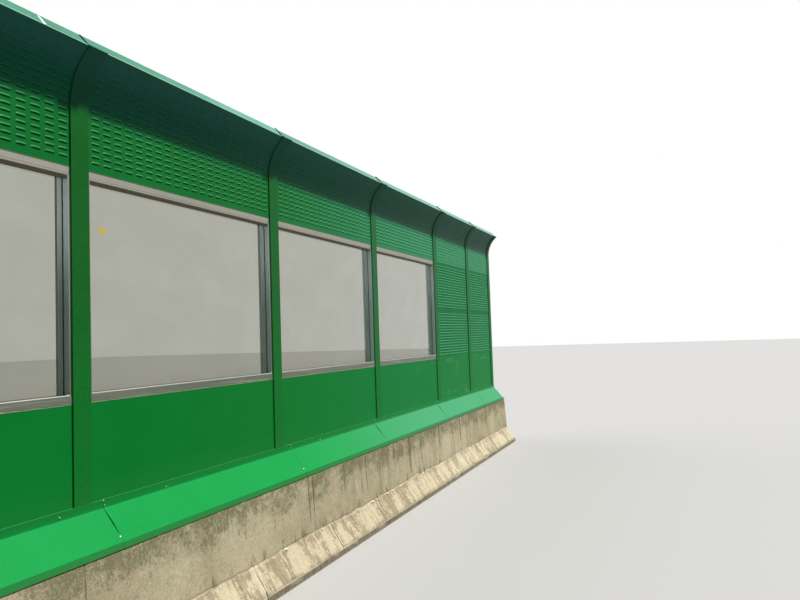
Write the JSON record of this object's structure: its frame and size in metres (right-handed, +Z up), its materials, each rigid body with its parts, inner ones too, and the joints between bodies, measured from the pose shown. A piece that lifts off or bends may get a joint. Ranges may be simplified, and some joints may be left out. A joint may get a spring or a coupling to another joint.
{
  "type": "highway noise barrier",
  "caption": "Roadside noise barrier: louvred and clear panels between green H posts that curve over the road, on a concrete parapet.",
  "frame": {"origin": "bottom centre of the bounding box: middle of the parapet's foot, on the ground", "axes": "+X along the barrier, to the right as seen from the road; -Y towards the road; +Z up"},
  "size_m": [11.05, 0.555, 3.5069],
  "materials": {
    "concrete": "matt, weathered",
    "post_paint": "satin",
    "panel_paint": "satin",
    "flashing_paint": "satin",
    "frame_metal": "matt",
    "pane": "clear, slightly tinted",
    "packing": "matt"
  },
  "bodies": {
    "root": {"parapet": "concrete", "post_1": "post_paint", "post_2": "post_paint", "post_3": "post_paint", "post_4": "post_paint", "post_5": "post_paint", "post_6": "post_paint", "post_7": "post_paint", "bottom_panel_1": "panel_paint", "canopy_panel_1": "panel_paint", "window_1_bottom_rail": "frame_metal", "window_1_top_rail": "frame_metal", "window_1_left_stile": "frame_metal", "window_1_right_stile": "frame_metal", "window_1_pane": "pane", "bottom_panel_2": "panel_paint", "canopy_panel_2": "panel_paint", "window_2_bottom_rail": "frame_metal", "window_2_top_rail": "frame_metal", "window_2_left_stile": "frame_metal", "window_2_right_stile": "frame_metal", "window_2_pane": "pane", "bottom_panel_3": "panel_paint", "canopy_panel_3": "panel_paint", "window_3_bottom_rail": "frame_metal", "window_3_top_rail": "frame_metal", "window_3_left_stile": "frame_metal", "window_3_right_stile": "frame_metal", "window_3_pane": "pane", "bottom_panel_4": "panel_paint", "canopy_panel_4": "panel_paint", "window_4_bottom_rail": "frame_metal", "window_4_top_rail": "frame_metal", "window_4_left_stile": "frame_metal", "window_4_right_stile": "frame_metal", "window_4_pane": "pane", "bottom_panel_5": "panel_paint", "canopy_panel_5": "panel_paint", "louvre_panel_5_lower": "panel_paint", "louvre_panel_5_upper": "panel_paint", "bottom_panel_6": "panel_paint", "canopy_panel_6": "panel_paint", "louvre_panel_6_lower": "panel_paint", "louvre_panel_6_upper": "panel_paint", "canopy_caps": "flashing_paint", "flashing": "flashing_paint", "flashing_packing": "packing"}
  },
  "joints": []
}
